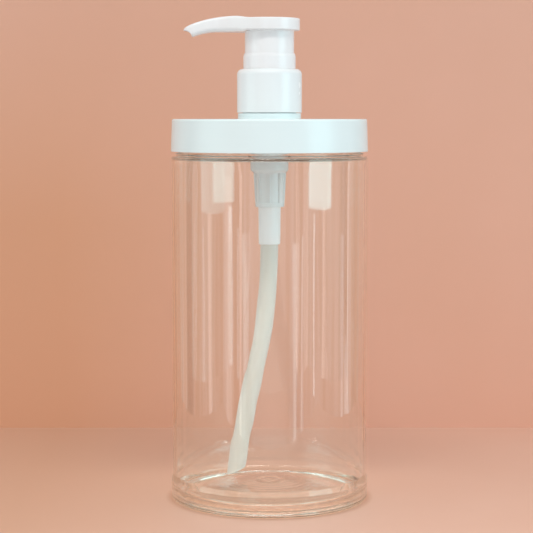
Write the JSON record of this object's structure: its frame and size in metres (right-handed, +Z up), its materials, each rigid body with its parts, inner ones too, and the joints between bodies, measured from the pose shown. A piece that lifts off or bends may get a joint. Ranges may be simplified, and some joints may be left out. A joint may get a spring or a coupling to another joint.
{
  "type": "soap pump dispenser",
  "caption": "Clear wide-mouth jar with a white screw lid and a hand pump with a long beak, a ribbed housing and a leaning dip tube, for soap or lotion.",
  "frame": {"origin": "centre of the circle on which the jar stands", "axes": "+Z up along the jar and the pump, the spout points towards -X"},
  "size_m": [0.094, 0.094, 0.2285],
  "materials": {
    "clear_pet": "blown clear PET, high gloss",
    "white_pp": "moulded white polypropylene, semi-gloss",
    "natural_pp": "moulded natural polypropylene, translucent",
    "white_valve_pp": "moulded white polypropylene, satin",
    "natural_pe": "extruded natural polyethylene, milky",
    "foam_pe": "closed-cell foam sheet",
    "washer_pe": "soft moulded polyethylene",
    "spring_steel": "drawn stainless spring wire",
    "ball_steel": "polished stainless ball"
  },
  "bodies": {
    "jar": {"jar": "clear_pet"},
    "liner": {"lid_liner": "foam_pe"},
    "lid": {"lid": "white_pp"},
    "pump": {"housing": "natural_pp", "guide_ring": "white_pp", "pump_gasket": "washer_pe", "valve_body": "white_valve_pp", "dip_tube": "natural_pe", "spring": "spring_steel"},
    "collar": {"collar": "white_pp"},
    "plunger": {"piston_rod": "white_valve_pp"},
    "head": {"actuator": "white_pp", "stem": "white_valve_pp"},
    "piston": {"piston": "natural_pp"},
    "ball": {"inlet_ball": "ball_steel"}
  },
  "joints": [
    {"name": "lid_lift", "type": "slide", "parent": "jar", "child": "liner", "axis": [0, 0, 1], "range_m": [0, 0.195]},
    {"name": "lid_turn", "type": "hinge", "parent": "liner", "child": "lid", "pos_m": [0, 0, 0.178], "axis": [0, 0, 1], "range_deg": [0, 360]},
    {"name": "pump_rise", "type": "slide", "parent": "lid", "child": "pump", "axis": [0, 0, 1], "range_m": [0, 0.00636]},
    {"name": "collar_turn", "type": "hinge", "parent": "pump", "child": "collar", "pos_m": [0, 0, 0.194], "axis": [0, 0, 1], "range_deg": [0, 540]},
    {"name": "head_press", "type": "slide", "parent": "pump", "child": "plunger", "axis": [0, 0, -1], "range_m": [0, 0.0084], "stiffness_N_per_m": 1500, "springref_m": -0.004, "deforming": ["spring"]},
    {"name": "head_turn", "type": "hinge", "parent": "plunger", "child": "head", "pos_m": [0, 0, 0.22], "axis": [0, 0, 1], "continuous": true},
    {"name": "piston_slip", "type": "slide", "parent": "plunger", "child": "piston", "axis": [0, 0, 1], "range_m": [0, 0.001]},
    {"name": "ball_lift", "type": "slide", "parent": "pump", "child": "ball", "axis": [0, 0, 1], "range_m": [0, 0.0016]}
  ],
  "couplings": [
    {"joint": "pump_rise", "follows": "collar_turn", "m_per_rad": 0.00067376}
  ]
}
